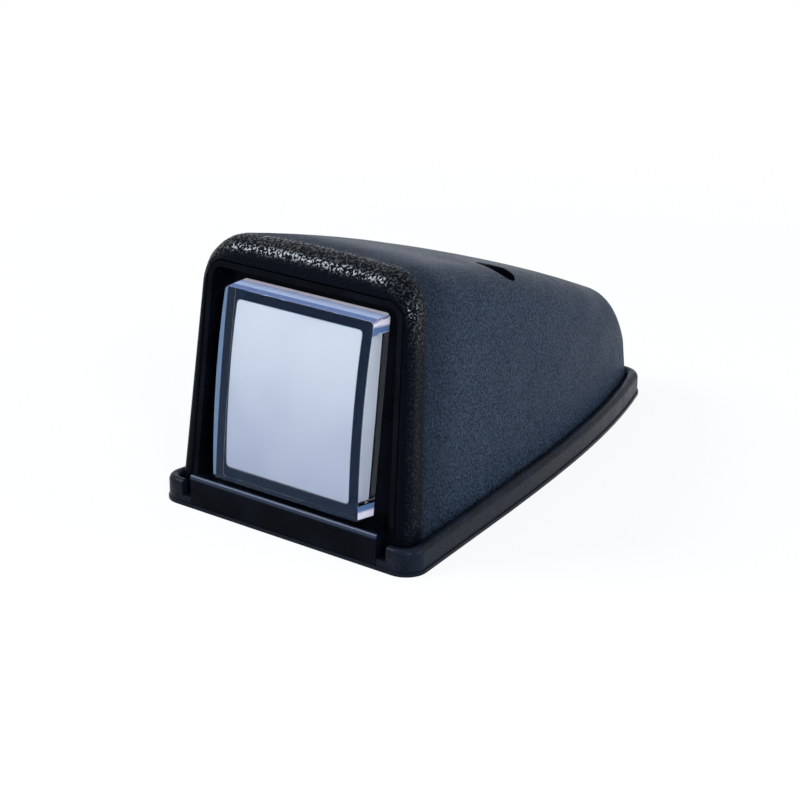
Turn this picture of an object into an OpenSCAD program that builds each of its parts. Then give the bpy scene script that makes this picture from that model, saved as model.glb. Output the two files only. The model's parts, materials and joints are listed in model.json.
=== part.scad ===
// Roof marker light for a truck cab: a textured hood over a sealed lamp unit, on a rubber base gasket.
// Millimetres, +Z up, the light shines towards -Y. The origin is under the middle of the base.
// All plan lengths below are measured back from the front edge of the gasket.

/* [Base gasket] */
// Length of the gasket, front to back
gasket_l = 158; // [130:1:190]
// Width that the gasket's sides would reach at its front edge
gasket_front_w = 88.6; // [86:0.2:104]
// Width that the gasket's sides would reach at its rear edge
gasket_rear_w = 29.6; // [24:0.2:50]
// Share of the narrowing that is a straight taper, the rest comes in towards the rear
taper_share = 0.628; // [0.5:0.01:0.9]
// Radius of the front corners in plan
front_corner_r = 6; // [5:0.5:8]
// Radius of the rear corners in plan
rear_corner_r = 8; // [6.5:0.5:12]
// Thickness of the sheet under the lamp
gasket_t = 1; // [0.8:0.1:2]
// Height of the rim that wraps the foot of the hood
rim_h = 7.2; // [6:0.1:10]
// Width of the rim along the sides and the rear
rim_w = 3.9; // [3.2:0.1:4.5]
// Width of the rim in front of the hood's jambs
rim_front_w = 3.1; // [2.6:0.1:4.5]
// How much wider than the hood's opening the gap in the rim is, on each side
rim_end_over = 0; // [-0.3:0.1:1]
// Height of the low step between the rim ends and the sill
rim_step_h = 3; // [2:0.1:4]
// Diameter of the hole where the lead passes down through the gasket
lead_hole_d = 9; // [7:0.5:12]
// Distance of the lead hole from the front edge
lead_hole_y = 98; // [90:1:110]

/* [Hood] */
// Thickness of the hood's walls
wall = 2.5; // [2:0.1:3.2]
// Gap between the rim and the foot of the hood
foot_gap = 0.15; // [0.1:0.05:0.4]
// Height of the hood's ridge, taken at the front face
ridge_front_h = 77.4; // [74:0.2:95]
// Height of the hood's ridge, taken at the rear face
ridge_rear_h = 31.2; // [28:0.2:45]
// Rise of the bowed ridge over a straight line between those heights
ridge_bow = 5.2; // [2:0.1:8]
// Rise of the top across its width
crown = 0.9; // [0.4:0.1:2]
// Radius between the top and the sides
shoulder_r = 11; // [7:0.5:13]
// Radius between the front face and the top
brow_r = 8; // [4:0.5:9]
// Radius between the front face and the sides
jamb_r = 3; // [1.5:0.25:3.5]
// Radius between the top and the rear face
tail_r = 15; // [9:0.5:20]
// Run-in of the side walls for each millimetre of height
side_draft = 0.065; // [0.02:0.005:0.08]
// Lean of the front face, backwards for each millimetre of height
front_lean = 0.105; // [0.06:0.005:0.16]
// Lean of the rear face, forwards for each millimetre of height
rear_lean = 0.07; // [0.02:0.01:0.12]

/* [Hood opening] */
// Half the width of the opening at its foot
opening_foot_x = 35.3; // [33:0.1:35.6]
// Run-in of the opening's sides for each millimetre of height
opening_draft = 0.036; // [0.02:0.002:0.06]
// Height of the top of the opening
opening_h = 68.9; // [66:0.1:70]
// Radius of the opening's top corners
opening_r = 5; // [3:0.5:8]

/* [Fixing wells] */
// Spacing of the two fixing screws
fixing_spacing = 38.8; // [30:0.2:40]
// Distance of the fixing screws from the front edge
fixing_y = 69; // [64:0.5:76]
// Diameter of the wells that take the screw heads
well_d = 10.8; // [9:0.2:12]
// Wall of the towers round the wells
well_wall = 2.2; // [1.6:0.1:3]
// Height of the seat that the screw heads bear on
seat_h = 9; // [6:0.5:14]
// Clearance hole for an M5 fixing screw
fixing_hole_d = 5.5; // [5:0.1:6.5]

/* [Lens] */
// Width of the lens
lens_w = 50; // [44:0.5:52]
// Height of the lens, along its leaning face
lens_h = 54.3; // [48:0.5:56]
// How far the edge of the lens stands out from the panel
lens_proud = 6.35; // [4:0.05:8]
// Bulge of the lens face over its own edge
lens_bulge = 1.5; // [0.5:0.1:3]
// Thickness of the lens face
lens_face_t = 1.5; // [1.2:0.1:2.5]
// Thickness of the lens sides
lens_side_t = 3.7; // [2.5:0.1:4.5]
// Radius of the lens corners
lens_corner_r = 1.25; // [1:0.25:4]

/* [Lamp unit] */
// Lean of the lamp unit from upright, in degrees
lamp_lean = 7.3; // [4:0.1:10]
// Distance of the panel's foot from the front edge
panel_y = 8.1; // [8:0.1:10]
// Height of the lens foot
panel_z = 9.7; // [9.7:0.1:12]
// Thickness of the panel round the lens
panel_t = 3.5; // [3:0.1:5]
// Wall of the panel's frame and of the box behind it
unit_wall = 1.6; // [1.2:0.1:2.2]
// Gap all round between the frame and the hood's opening
frame_gap = 0.3; // [0.2:0.05:0.6]
// Depth of the box behind the panel
box_depth = 14.5; // [13:0.5:18]
// How far each end of the sill stands in from the side of the opening
sill_inset = 3.2; // [2:0.1:4.5]
// How far the sill's top lies below the foot of the lens
sill_drop = 0.05; // [0.05:0.05:0.5]
// Depth of the sill's level top
sill_depth = 3.8; // [3:0.1:4.5]
// Depth of the drain channel behind the sill
channel_d = 1.45; // [0.8:0.05:2.5]
// Radius of the sill's front edge
sill_r = 0.9; // [0.4:0.1:1.5]

/* [Screws] */
// Thread diameter of the screws that hold the lamp unit in the hood
body_screw_d = 3; // [2.5:0.1:3.5]
// Thread diameter of the screws in the back cover
cover_screw_d = 2.2; // [2:0.1:2.6]
// Thread diameter of the screws in the diode board
board_screw_d = 2; // [1.8:0.1:2.4]

/* [Hidden] */

$fn = 48;
eps = 0.01;
reach = 300;
// How sharply the last of the narrowing comes in, as a power of the distance
bow_power = 3.75;
// Clearance between pieces that slide together in the lamp unit
fit = 0.15;
// The gap in the rim and the sill are set out from the foot of the opening, the sill's top from the lens
rim_end_x = opening_foot_x + rim_end_over;
sill_w = 2 * (opening_foot_x - sill_inset);
sill_top = panel_z - sill_drop;
channel_z = sill_top - channel_d;

// Steps of the hood's skin, of the gasket's outline and of the opening's corners
side_steps = 6;
shoulder_steps = 10;
crown_steps = 6;
fillet_steps = 6;
tail_steps = 10;
body_steps = 14;
plan_arc_steps = 8;
plan_side_steps = 22;
arch_steps = 8;

// Plan of the gasket: half its width at a distance y from the front edge
function half_w(y) =
    gasket_front_w / 2 - (gasket_front_w - gasket_rear_w) / 2
    * (taper_share * y / gasket_l + (1 - taper_share) * pow(y / gasket_l, bow_power));
// Angle of the side at that distance, away from straight back
function side_angle(y) =
    atan((gasket_front_w - gasket_rear_w) / 2 / gasket_l
         * (taper_share + (1 - taper_share) * bow_power * pow(y / gasket_l, bow_power - 1)));

front_turn = side_angle(front_corner_r);
front_arc_end = front_corner_r * (1 + sin(front_turn));
front_centre_x = half_w(front_arc_end) - front_corner_r * cos(front_turn);
rear_turn = side_angle(gasket_l - rear_corner_r);
rear_arc_y = gasket_l - rear_corner_r;
rear_arc_start = rear_arc_y + rear_corner_r * sin(rear_turn);
rear_centre_x = half_w(rear_arc_start) - rear_corner_r * cos(rear_turn);

// Right half of the plan as [x, y, outward normal x, outward normal y], from the front to the rear
plan_right = concat(
    [for (i = [0 : plan_arc_steps])
        let (a = -90 + (90 + front_turn) * i / plan_arc_steps)
        [front_centre_x + front_corner_r * cos(a), front_corner_r * (1 + sin(a)), cos(a), sin(a)]],
    [for (i = [1 : plan_side_steps - 1])
        let (y = front_arc_end + (rear_arc_start - front_arc_end) * i / plan_side_steps,
             a = side_angle(y))
        [half_w(y), y, cos(a), sin(a)]],
    [for (i = [0 : plan_arc_steps])
        let (a = rear_turn + (90 - rear_turn) * i / plan_arc_steps)
        [rear_centre_x + rear_corner_r * cos(a), rear_arc_y + rear_corner_r * sin(a), cos(a), sin(a)]]);
plan_path = concat(plan_right,
    [for (i = [len(plan_right) - 1 : -1 : 0]) let (p = plan_right[i]) [-p[0], p[1], -p[2], p[3]]]);
rim_path = concat([[rim_end_x, 0, 0, -1]], plan_path, [[-rim_end_x, 0, 0, -1]]);

// Section of the rim as [inset from the outline, height], round over the top
rim_lip = 0.35;
rim_roll_r = rim_w / 2 - rim_lip / 2;
rim_section = concat(
    [[rim_lip, gasket_t / 2], [rim_lip, rim_h - rim_roll_r]],
    [for (i = [1 : plan_arc_steps * 2 - 1])
        let (a = 180 - 180 * i / (plan_arc_steps * 2))
        [(rim_w + rim_lip) / 2 + rim_roll_r * cos(a), rim_h - rim_roll_r + rim_roll_r * sin(a)]],
    [[rim_w, rim_h - rim_roll_r], [rim_w, gasket_t / 2]]);
// The rim is slimmer where it turns across the front
function rim_inset(p, q) = q[0] * (1 - (1 - rim_front_w / rim_w) * max(0, -p[3]));

// Hood: the skin runs from one station to the next, and a skin that is inset by w is the cavity
hood_inset = rim_w + foot_gap;
hood_front = rim_front_w + foot_gap;
hood_rear = gasket_l - hood_inset;
hood_rear_r = rear_corner_r - hood_inset;
foot_z = gasket_t;
least_r = 0.4;
// The sloping top is thicker, measured upright, than the wall is square to it
slope_share = 1.06;
// Largest share of the half width and of the height that the shoulder's radius may take
shoulder_share_x = 0.55;
shoulder_share_z = 0.6;
function along(s) = (s - hood_front) / (hood_rear - hood_front);
function lean(s) = front_lean - (rear_lean + front_lean) * along(s);
// Drop of a quarter round of radius r at a distance d from the end of the skin
function round_off(d, r) = d >= r ? 0 : r - sqrt(max(0, r * r - (r - d) * (r - d)));
function foot_x(s, w) =
    let (r = max(hood_rear_r - w, least_r),
         straight = half_w(s) - (hood_inset + w) / cos(side_angle(s)),
         rear = rear_centre_x + sqrt(max(0, r * r - pow(max(0, s - rear_arc_y), 2))))
    (s > rear_arc_start ? min(straight, rear) : straight)
    - (w == 0 ? round_off(s - hood_front, jamb_r) : 0);
function ridge_z(s, w) =
    let (t = along(s))
    ridge_front_h + (ridge_rear_h - ridge_front_h) * t + 4 * ridge_bow * t * (1 - t) - w * slope_share
    - round_off(s - hood_front - w, brow_r - w) - round_off(hood_rear - w - s, tail_r - w);
function section(s, w, z0) =
    let (foot = foot_x(s, w),
         top = ridge_z(s, w),
         tilt = atan(side_draft),
         r = max(least_r, min(shoulder_r - w, foot * shoulder_share_x, (top - z0) * shoulder_share_z)),
         rise = crown * foot / half_w(0),
         cz0 = top - rise - r,
         cx = foot - side_draft * cz0 - r / cos(tilt),
         edge = atan(2 * rise / cx),
         cz = top - rise - r * cos(edge),
         x_edge = cx + r * sin(edge),
         right = concat(
             [for (i = [0 : side_steps])
                 let (z = z0 + (cz + r * sin(tilt) - z0) * i / side_steps) [foot - side_draft * z, z]],
             [for (i = [1 : shoulder_steps])
                 let (a = tilt + (90 - edge - tilt) * i / shoulder_steps)
                 [cx + r * cos(a), cz + r * sin(a)]],
             [for (i = [1 : crown_steps])
                 let (x = x_edge * (1 - i / crown_steps)) [x, top - rise * x * x / (x_edge * x_edge)]]))
    concat(right, [for (i = [len(right) - 2 : -1 : 0]) [-right[i][0], right[i][1]]]);
ridge_point = side_steps + shoulder_steps + crown_steps;
function ring(s, w, z0) = [for (p = section(s, w, z0)) [p[0], s + p[1] * lean(s), p[1]]];
// Stations crowd together where the front and rear edges are rounded
function stations(w) = concat(
    [for (i = [0 : fillet_steps]) hood_front + w + (brow_r - w) * (1 - cos(90 * i / fillet_steps))],
    [for (i = [1 : body_steps - 1])
        let (a = hood_front + brow_r, b = hood_rear - tail_r) a + (b - a) * i / body_steps],
    [for (i = [0 : tail_steps]) hood_rear - w - (tail_r - w) * (1 - sin(90 * i / tail_steps))]);

// An upright arch as [x, z] points, inset by d, from the right foot over the top to the left foot
function arch(foot, draft, z0, top, r, d) =
    let (turn = atan(draft),
         cz = top - r,
         cx = foot - draft * cz - r / cos(turn),
         right = concat(
             [[foot - d - draft * z0, z0]],
             [for (i = [0 : arch_steps])
                 let (a = turn + (90 - turn) * i / arch_steps)
                 [cx + (r - d) * cos(a), cz + (r - d) * sin(a)]]))
    concat(right, [for (i = [len(right) - 1 : -1 : 0]) [-right[i][0], right[i][1]]]);
// How far the opening is cut past the inside of the front wall
opening_over = 1.5;

// Lamp unit, in its own leaning frame: y = 0 is the front of the panel, z = 0 the middle of the lens
lens_round_r = (lens_h * lens_h / 4 + lens_bulge * lens_bulge) / (2 * lens_bulge);
lens_mid = lens_h / 2;
core_w = lens_w - 2 * lens_side_t;
core_h = lens_h - 2 * lens_side_t;
// The foot of the lens beds in a groove, and the diffuser's skirt stands on the land inside the groove
groove_d = 2.2;
seal_t = 0.6;
diffuser_t = 1.5;
window_w = core_w - 2 * fit - 2 * diffuser_t - 1;
window_h = core_h - 2 * fit - 2 * diffuser_t - 1;
reflector_t = 9;
board_t = 1.6;
cover_t = 2.4;
cover_seal_t = 0.8;
box_in_w = lens_w;
box_in_h = lens_h - 2;
box_r = 2.6;
box_back = panel_t + box_depth;
reflector_y = panel_t;
board_y = reflector_y + reflector_t;
board_back = board_y + board_t;
cover_y = box_back + cover_seal_t;
cover_back = cover_y + cover_t;
boss_merge = 0.4;
boss_x = box_in_w / 2 - box_r + boss_merge;
boss_z = box_in_h / 2 - box_r + boss_merge;
boss_slack = 0.2;
board_screw_x = box_in_w / 2 - 3.5;

// The frame fills the opening as far back as the front wall, then draws in to clear the hood's side walls
frame_set_back = 0.2;
frame_wall_y = -2.7;
frame_back_draft = 0.052;
frame_foot_z = max(rim_step_h, gasket_t);
function plane_y(y, z) = panel_y + y / cos(lamp_lean) + (z - panel_z) * tan(lamp_lean);
function frame_draft(y) = opening_draft
    + (frame_back_draft - opening_draft) * max(0, y - frame_wall_y) / (panel_t - frame_wall_y);
function frame_outline(y, d, z0) =
    arch(opening_foot_x - frame_gap, frame_draft(y), z0, opening_h - frame_gap, opening_r - frame_gap, d);
// A ring of the frame in the hood's front plane, moved back by y, or in the plane y behind the panel's front
function front_ring(y, d, z0) =
    [for (p = frame_outline(frame_wall_y, d, z0)) [p[0], hood_front + y + front_lean * p[1], p[1]]];
function frame_ring(y, d, z0) = [for (p = frame_outline(y, d, z0)) [p[0], plane_y(y, p[1]), p[1]]];

// Light-emitting diodes on the front of the board, each in a cup of the reflector
led_x = window_w / 4;
led_z = window_h / 4;
cup_r = min(led_x, led_z) - 0.4;
cup_floor_r = 2.7;
cup_floor_h = 0.5;
led_w = 3.5;
led_h = 0.9;
led_dome_r = 1.7;
led_cap_r = 1.6;
led_dome_drop = 0.6;

// Small parts on the back of the board, each as [width, depth, height]
upper_row_z = 12;
lower_row_z = -2;
resistor_size = [3.2, 0.6, 6.3];
resistor_1_x = -6;
resistor_2_x = 0;
polarity_x = 8;
polarity_size = [3.6, 2.2, 4.3];
polarity_tab = [1.5, 0.9, 0.9];
regulator_x = -7;
regulator_size = [6.5, 2.2, 6];
regulator_tab = [5.4, 0.8, 1.2];
regulator_leg = [0.8, 0.9, 1.3];
regulator_leg_x = 2.3;
capacitor_x = 7;
capacitor_base = [6.6, 0.6, 6.6];
capacitor_d = 6.3;
capacitor_h = 3.6;
terminal_size = [8, 3.2, 5.2];
terminal_pitch = 4;
terminal_hole_d = 1.7;
terminal_hole_y = 1.7;

// The lead's grommet in the back cover, and the posts of the cover that press on the board
grommet_z = -core_h / 2 + 6;
grommet_r = 4.2;
grommet_lip = 1.3;
grommet_lip_t = 1.5;
grommet_inner_lip = 0.9;
grommet_inner_t = 1.2;
grommet_nose = 4;
grommet_nose_r = 3;
lead_r = 2.1;
post_r = 2;
post_inset = 2;
upper_post_x = 12;
lower_post_x = 16;

// Base plate of the lamp unit and the two screws that hold it up into the hood
sill_front = 0.3;
plate_top = 4;
plate_back = 44;
plate_front_gap = 2;
body_boss_r = 4.4;
body_boss_y = 39;
body_boss_x = foot_x(body_boss_y, wall) - body_boss_r + boss_merge;
body_boss_top = 30;
body_screw_l = 13;
pilot_over = 1;
rib_t = 2;
rib_l = 20;
foot_rib_x = 16;
foot_rib_h = 6;

module from_front() {
    translate([0, -gasket_l / 2, 0]) children();
}

module lamp_frame() {
    from_front() translate([0, panel_y, panel_z]) rotate([-lamp_lean, 0, 0])
        translate([0, 0, lens_mid]) children();
}

// A solid through rings of points, each as long as the first. Its ends fan out from point hub of a ring.
module loft(rings, hub) {
    n = len(rings[0]);
    m = len(rings);
    sides = [for (i = [0 : m - 2]) for (j = [0 : n - 1])
        let (k = (j + 1) % n)
        each [[i * n + j, (i + 1) * n + k, (i + 1) * n + j], [i * n + j, i * n + k, (i + 1) * n + k]]];
    ends = [for (j = [1 : n - 2])
        let (a = (hub + j) % n, b = (hub + j + 1) % n, last = (m - 1) * n)
        each [[hub, b, a], [last + hub, last + a, last + b]]];
    polyhedron(points = [for (r = rings) each r], faces = concat(sides, ends));
}

// A rounded rectangle of width w and height h, centred
module rounded(w, h, r) {
    square([w - 2 * r, h], center = true);
    square([w, h - 2 * r], center = true);
    for (x = [-1, 1], z = [-1, 1]) translate([x * (w / 2 - r), z * (h / 2 - r)]) circle(r);
}

// Stands a drawing up in the lamp frame, from depth y0 back to y1
module upright(y0, y1) {
    translate([0, y1, 0]) rotate([90, 0, 0]) linear_extrude(y1 - y0) children();
}

// A pin along the lamp frame's depth
module pin(x, z, r, y0, y1) {
    translate([x, y0, z]) rotate([-90, 0, 0]) cylinder(r = r, h = y1 - y0);
}

// A block centred across and up, that starts at y = 0
module block(size) {
    translate([-size[0] / 2, 0, -size[2] / 2]) cube(size);
}

// Crossed slots of length l and width w, sunk to depth d into the top of a screw's head
module cross(l, w, d) {
    for (a = [0, 90]) rotate([0, 0, a]) translate([-l / 2, -w / 2, -eps]) cube([l, w, d + eps]);
}

// The round face of the lens, as a cylinder across its width, set in by t
module face_round(t) {
    translate([0, lens_round_r - lens_proud - lens_bulge, 0]) rotate([0, 90, 0])
        cylinder(r = lens_round_r - t, h = lens_w * 2, center = true, $fn = 200);
}

module at_fixings() {
    for (x = [-1, 1]) from_front() translate([x * fixing_spacing / 2, fixing_y, 0]) children();
}

module at_body_screws() {
    for (x = [-1, 1]) from_front() translate([x * body_boss_x, body_boss_y, 0]) children();
}

module at_corner_bosses() {
    for (x = [-1, 1], z = [-1, 1]) translate([x * boss_x, 0, z * boss_z]) children();
}

// Everything inside the hood that isn't hollow: the towers of the wells, their ribs and the screw bosses
module hood_cores() {
    tower_r = well_d / 2 + well_wall;
    at_fixings() cylinder(r = tower_r, h = reach);
    at_body_screws() translate([0, 0, plate_top]) cylinder(r = body_boss_r, h = body_boss_top - plate_top);
    rib_x = fixing_spacing / 2 + tower_r - well_wall / 2;
    from_front() for (x = [-1, 1])
        translate([x * rib_x - (x < 0 ? rib_l : 0), fixing_y - rib_t / 2, seat_h])
            cube([rib_l, rib_t, reach]);
}

// The opening in the front wall: its sides are cut straight back
module hood_opening() {
    outline = arch(opening_foot_x, opening_draft, 0, opening_h, opening_r, 0);
    from_front() loft([for (y = [-hood_front, hood_front + wall + opening_over])
        [for (p = outline) [p[0], y + front_lean * p[1], p[1]]]], 0);
}

module hood() {
    color([0.13, 0.14, 0.16]) difference() {
        from_front() loft([for (s = stations(0)) ring(s, 0, foot_z)], ridge_point);
        difference() {
            from_front() loft([for (s = stations(wall)) ring(s, wall, foot_z - 1)], ridge_point);
            hood_cores();
        }
        hood_opening();
        at_fixings() {
            translate([0, 0, seat_h]) cylinder(d = well_d, h = reach);
            cylinder(d = fixing_hole_d, h = reach);
        }
        at_body_screws() cylinder(d = body_screw_d, h = gasket_t + body_screw_l + pilot_over);
    }
}

module base_gasket() {
    step_w = rim_end_x - sill_w / 2 - fit;
    step_x = sill_w / 2 + fit + step_w / 2;
    color([0.1, 0.1, 0.11]) from_front() difference() {
        union() {
            linear_extrude(gasket_t) polygon([for (p = plan_path) [p[0], p[1]]]);
            loft([for (p = rim_path) [for (q = rim_section)
                let (d = rim_inset(p, q)) [p[0] - p[2] * d, p[1] - p[3] * d, q[1]]]], plan_arc_steps);
            for (x = [-1, 1])
                translate([x * step_x, (rim_front_w + rim_lip) / 2, (rim_step_h + gasket_t / 2) / 2])
                cube([step_w + 2 * eps, rim_front_w - rim_lip, rim_step_h - gasket_t / 2], center = true);
        }
        for (x = [-1, 1])
            translate([x * fixing_spacing / 2, fixing_y, -1]) cylinder(d = fixing_hole_d, h = reach);
        translate([0, lead_hole_y, -1]) cylinder(d = lead_hole_d, h = reach);
    }
}

module lamp_body() {
    color([0.05, 0.05, 0.06]) difference() {
        union() {
            from_front() loft([front_ring(frame_set_back, 0, frame_foot_z),
                frame_ring(frame_wall_y, 0, frame_foot_z), frame_ring(panel_t, 0, frame_foot_z)], 0);
            intersection() {
                lamp_frame() upright(0, box_back)
                    rounded(box_in_w + 2 * unit_wall, box_in_h + 2 * unit_wall, box_r + unit_wall);
                from_front() translate([-reach / 2, 0, gasket_t]) cube(reach);
            }
            lamp_frame() for (x = [-1, 1]) translate([x * foot_rib_x, unit_wall, -lens_mid - foot_rib_h / 2])
                block([rib_t, box_back - 2 * unit_wall, foot_rib_h]);
            sill();
            base_plate();
        }
        from_front() loft([front_ring(-hood_front, unit_wall, channel_z),
            frame_ring(frame_wall_y, unit_wall, channel_z), frame_ring(0, unit_wall, channel_z)], 0);
        lamp_frame() {
            upright(-eps, groove_d) difference() {
                rounded(lens_w + 2 * fit, lens_h + 2 * fit, lens_corner_r + fit);
                rounded(core_w - 2 * fit, core_h - 2 * fit, lens_corner_r);
            }
            upright(-1, panel_t + 1) rounded(window_w, window_h, lens_corner_r);
            difference() {
                upright(panel_t, reach) rounded(box_in_w, box_in_h, box_r);
                at_corner_bosses() pin(0, 0, box_r, panel_t, box_back);
            }
            at_corner_bosses() pin(0, 0, cover_screw_d / 2, box_back - 9, reach);
        }
        at_body_screws() {
            cylinder(d = body_screw_d + 0.4, h = plate_top + 1);
            translate([0, 0, gasket_t - eps])
                cylinder(d1 = body_screw_d * 2, d2 = body_screw_d, h = body_screw_d / 2);
        }
    }
}

// The sill under the lens, rounded along its front edge, with the drain channel behind it
module sill() {
    from_front() translate([-sill_w / 2, 0, 0]) rotate([90, 0, 90]) linear_extrude(sill_w) union() {
        translate([sill_front, gasket_t]) square([sill_depth, sill_top - sill_r - gasket_t]);
        translate([sill_front + sill_r, gasket_t]) square([sill_depth - sill_r, sill_top - gasket_t]);
        translate([sill_front + sill_r, sill_top - sill_r]) circle(sill_r);
        translate([sill_front + sill_r, gasket_t]) square([panel_y, channel_z - gasket_t]);
    }
}

// The plate that runs back under the box. Its sides follow the inside of the hood.
module base_plate() {
    front = hood_front + wall + plate_front_gap;
    from_front() translate([0, 0, gasket_t]) linear_extrude(plate_top - gasket_t)
        polygon([for (x = [1, -1], i = [0 : plan_side_steps])
            let (y = front + (plate_back - front) * (x > 0 ? i : plan_side_steps - i) / plan_side_steps)
            [x * (foot_x(y, wall) - plate_top * side_draft - fit), y]]);
}

module lens() {
    color([0.85, 0.92, 0.98, 0.4]) lamp_frame() difference() {
        intersection() {
            upright(-lens_proud - lens_bulge - 1, groove_d - seal_t) rounded(lens_w, lens_h, lens_corner_r);
            face_round(0);
        }
        intersection() {
            upright(-reach / 2, reach / 2) rounded(core_w, core_h, lens_corner_r);
            face_round(lens_face_t);
        }
    }
}

module lens_seal() {
    color([0.2, 0.2, 0.22]) lamp_frame() upright(groove_d - seal_t, groove_d) difference() {
        rounded(lens_w, lens_h, lens_corner_r);
        rounded(core_w, core_h, lens_corner_r);
    }
}

module diffuser() {
    color([0.88, 0.92, 0.96]) lamp_frame() difference() {
        intersection() {
            upright(-lens_proud - lens_bulge, 0) rounded(core_w - 2 * fit, core_h - 2 * fit, lens_corner_r);
            face_round(lens_face_t + fit);
        }
        intersection() {
            upright(-reach / 2, reach / 2)
                rounded(
                    core_w - 2 * fit - 2 * diffuser_t, core_h - 2 * fit - 2 * diffuser_t, lens_corner_r / 2);
            face_round(lens_face_t + fit + diffuser_t);
        }
    }
}

// A plate that fills the box round the corner bosses, with a gap all round
module box_plate(y0, y1, gap) {
    difference() {
        upright(y0, y1) rounded(box_in_w - 2 * gap, box_in_h - 2 * gap, box_r - gap);
        at_corner_bosses() pin(0, 0, box_r + gap, y0 - 1, y1 + 1);
    }
}

module at_diode(i) {
    translate([led_x * (i % 2 == 0 ? -1 : 1), board_y, led_z * (i < 2 ? 1 : -1)])
        rotate([90, 0, 0]) children();
}

module reflector() {
    color([0.95, 0.95, 0.95]) lamp_frame() difference() {
        box_plate(reflector_y, board_y, 0.4);
        for (i = [0 : 3]) at_diode(i) {
            cylinder(r1 = cup_floor_r, r2 = cup_r, h = reflector_t + eps);
            translate([0, 0, -eps]) cylinder(r = cup_floor_r, h = cup_floor_h);
        }
        for (x = [-1, 1]) pin(x * board_screw_x, 0, board_screw_d / 2, board_y - 5, board_y + 1);
    }
}

module diode_board() {
    color([0.1, 0.35, 0.2]) lamp_frame() difference() {
        box_plate(board_y, board_back, 0.5);
        for (x = [-1, 1]) pin(x * board_screw_x, 0, board_screw_d / 2 + 0.1, board_y - 1, board_back + 1);
    }
}

// One light-emitting diode: a square base with a domed cap
module diode(i) {
    color([0.98, 0.95, 0.7]) lamp_frame() at_diode(i) {
        translate([-led_w / 2, -led_w / 2, 0]) cube([led_w, led_w, led_h]);
        translate([0, 0, led_h - eps]) intersection() {
            translate([0, 0, -led_dome_drop]) sphere(r = led_dome_r);
            cylinder(r = led_cap_r, h = led_dome_r);
        }
    }
}
module diode_1() { diode(0); }
module diode_2() { diode(1); }
module diode_3() { diode(2); }
module diode_4() { diode(3); }

// A pan-head screw that points to -Y: the underside of its head is at y = 0
module screw(d, l, head_d, head_h) {
    rotate([90, 0, 0]) {
        cylinder(d = d, h = l);
        translate([0, 0, -head_h]) difference() {
            cylinder(d = head_d, h = head_h);
            cross(head_d * 0.6, 0.5, head_h / 2);
        }
    }
}

module board_screws() {
    color([0.75, 0.75, 0.75]) lamp_frame() for (x = [-1, 1])
        translate([x * board_screw_x, board_back, 0]) screw(board_screw_d, board_t + 4.5, 3.6, 1.3);
}

// Places a small part on the back of the board
module on_board(x, z) {
    lamp_frame() translate([x, board_back, z]) children();
}

module resistor(x) {
    color([0.12, 0.12, 0.12]) on_board(x, upper_row_z) block(resistor_size);
}
module resistor_1() { resistor(resistor_1_x); }
module resistor_2() { resistor(resistor_2_x); }

module polarity_diode() {
    color([0.15, 0.15, 0.15]) on_board(polarity_x, upper_row_z) {
        translate([0, fit, 0]) block(polarity_size);
        for (z = [-1, 1]) translate([0, 0, z * polarity_size[2] / 2]) block(polarity_tab);
    }
}

module current_regulator() {
    side = regulator_size[2] / 2;
    color([0.13, 0.13, 0.13]) on_board(regulator_x, lower_row_z) {
        translate([0, fit, 0]) block(regulator_size);
        translate([0, 0, side + regulator_tab[2] / 2 - eps]) block(regulator_tab);
        for (x = [-1, 1]) translate([x * regulator_leg_x, 0, -side - regulator_leg[2] / 2 + eps])
            block(regulator_leg);
    }
}

module capacitor() {
    color([0.7, 0.7, 0.72]) on_board(capacitor_x, lower_row_z) {
        block(capacitor_base);
        rotate([-90, 0, 0]) cylinder(d = capacitor_d, h = capacitor_h);
    }
}

module terminal_block() {
    color([0.9, 0.9, 0.88]) on_board(0, grommet_z + 1) difference() {
        block(terminal_size);
        for (x = [-1, 1]) translate([x * terminal_pitch / 2, terminal_hole_y, -terminal_size[2]])
            cylinder(d = terminal_hole_d, h = terminal_size[2] * 1.4);
    }
}

module cover_seal() {
    color([0.2, 0.2, 0.22]) lamp_frame() difference() {
        upright(box_back, cover_y) difference() {
            rounded(box_in_w + 2 * unit_wall, box_in_h + 2 * unit_wall, box_r + unit_wall);
            rounded(box_in_w + 2 * boss_slack, box_in_h + 2 * boss_slack, box_r + boss_slack);
        }
        at_corner_bosses() pin(0, 0, box_r, box_back - 1, cover_y + 1);
    }
}

module back_cover() {
    color([0.08, 0.08, 0.09]) lamp_frame() difference() {
        union() {
            upright(cover_y, cover_back)
                rounded(box_in_w + 2 * unit_wall, box_in_h + 2 * unit_wall, box_r + unit_wall);
            for (x = [-1, 1]) pin(x * upper_post_x, core_h / 2 - post_inset, post_r, board_back, cover_y + 1);
            for (x = [-1, 1])
                pin(x * lower_post_x, -core_h / 2 + post_inset, post_r, board_back, cover_y + 1);
            at_corner_bosses() pin(0, 0, box_r - boss_slack, box_back, cover_y + 1);
        }
        at_corner_bosses() pin(0, 0, cover_screw_d / 2 + 0.15, box_back - 1, reach);
        pin(0, grommet_z, grommet_r, board_back, reach);
    }
}

module cover_screws() {
    color([0.75, 0.75, 0.75]) lamp_frame() at_corner_bosses() translate([0, cover_back, 0])
        screw(cover_screw_d, cover_t + cover_seal_t + 7, 4.2, 1.6);
}

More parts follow.
